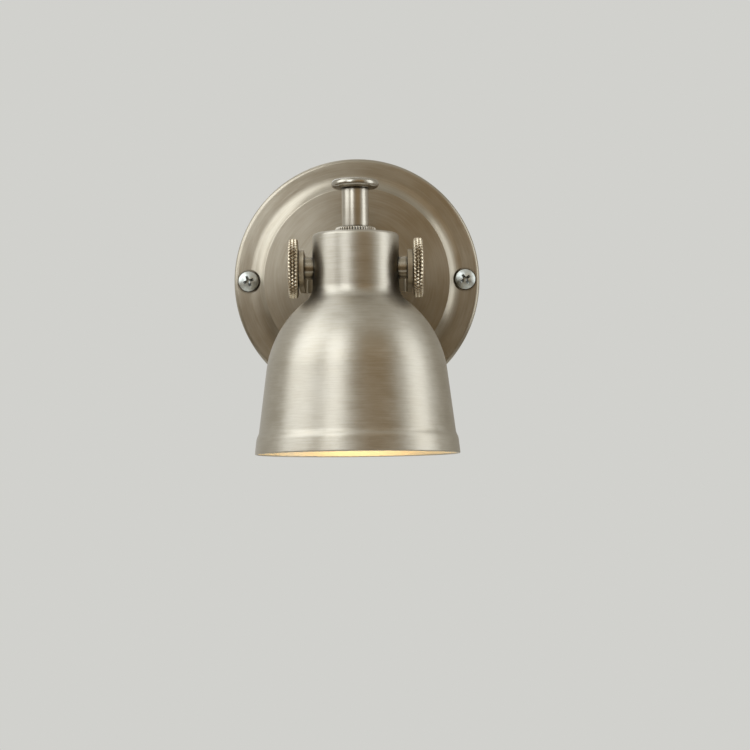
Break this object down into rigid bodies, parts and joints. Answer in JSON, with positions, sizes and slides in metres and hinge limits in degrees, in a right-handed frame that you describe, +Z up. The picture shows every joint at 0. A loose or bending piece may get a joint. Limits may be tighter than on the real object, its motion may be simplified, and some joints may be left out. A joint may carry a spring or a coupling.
{
  "type": "adjustable wall light",
  "caption": "Wall light with a round stepped plate, a flat yoke and a spun bell shade that tilts between two knurled thumb screws.",
  "frame": {"origin": "centre of the wall plate's back, on the wall, midway between the two plate screws", "axes": "+Y into the wall, +Z up, +X to the right seen from the room"},
  "size_m": [0.12, 0.1383, 0.1468],
  "materials": {
    "satin_nickel": "satin nickel, brushed around",
    "knurled_nickel": "diamond-knurled satin nickel",
    "zinc_steel": "bright zinc plate",
    "brass": "plain brass",
    "bronze": "spring bronze",
    "white_plastic": "moulded",
    "black_rubber": "moulded",
    "porcelain": "glazed porcelain",
    "opal_glass": "opal, lit warm white",
    "dark_insulator": "dark glass insulator",
    "solder": "solder"
  },
  "bodies": {
    "wall": {"wall_plate": "satin_nickel", "plate_screws": "zinc_steel", "standoff_post": "satin_nickel", "threaded_tube": "brass", "tooth_washer": "zinc_steel", "earth_tag": "brass", "plate_nut": "zinc_steel", "tube_bush_back": "white_plastic", "yoke": "satin_nickel", "yoke_washer": "zinc_steel", "yoke_nut": "zinc_steel", "tube_bush_front": "white_plastic"},
    "head": {"shade": "satin_nickel", "neck_grommet": "black_rubber", "pivot_boss_left": "satin_nickel", "pivot_boss_right": "satin_nickel", "ring_nut": "satin_nickel", "handle_stem": "satin_nickel", "handle_cap": "satin_nickel", "holder_nipple": "brass", "holder_strap": "zinc_steel", "holder_nut": "zinc_steel", "holder_screws": "zinc_steel", "holder_body": "porcelain", "holder_shell": "brass", "holder_tongue": "bronze", "bulb_globe": "opal_glass", "bulb_cap": "zinc_steel", "bulb_insulator": "dark_insulator", "bulb_contact": "solder"},
    "left_screw": {"thumb_screw_left": "knurled_nickel"},
    "right_screw": {"thumb_screw_right": "knurled_nickel"}
  },
  "joints": [
    {"name": "head_tilt", "type": "hinge", "parent": "wall", "child": "head", "pos_m": [0, -0.065, 0], "axis": [-1, 0, 0], "range_deg": [-10, 55]},
    {"name": "left_screw_turn", "type": "hinge", "parent": "head", "child": "left_screw", "pos_m": [-0.029, -0.065, 0], "axis": [-1, 0, 0], "range_deg": [0, 360]},
    {"name": "right_screw_turn", "type": "hinge", "parent": "head", "child": "right_screw", "pos_m": [0.029, -0.065, 0], "axis": [1, 0, 0], "range_deg": [0, 360]}
  ]
}
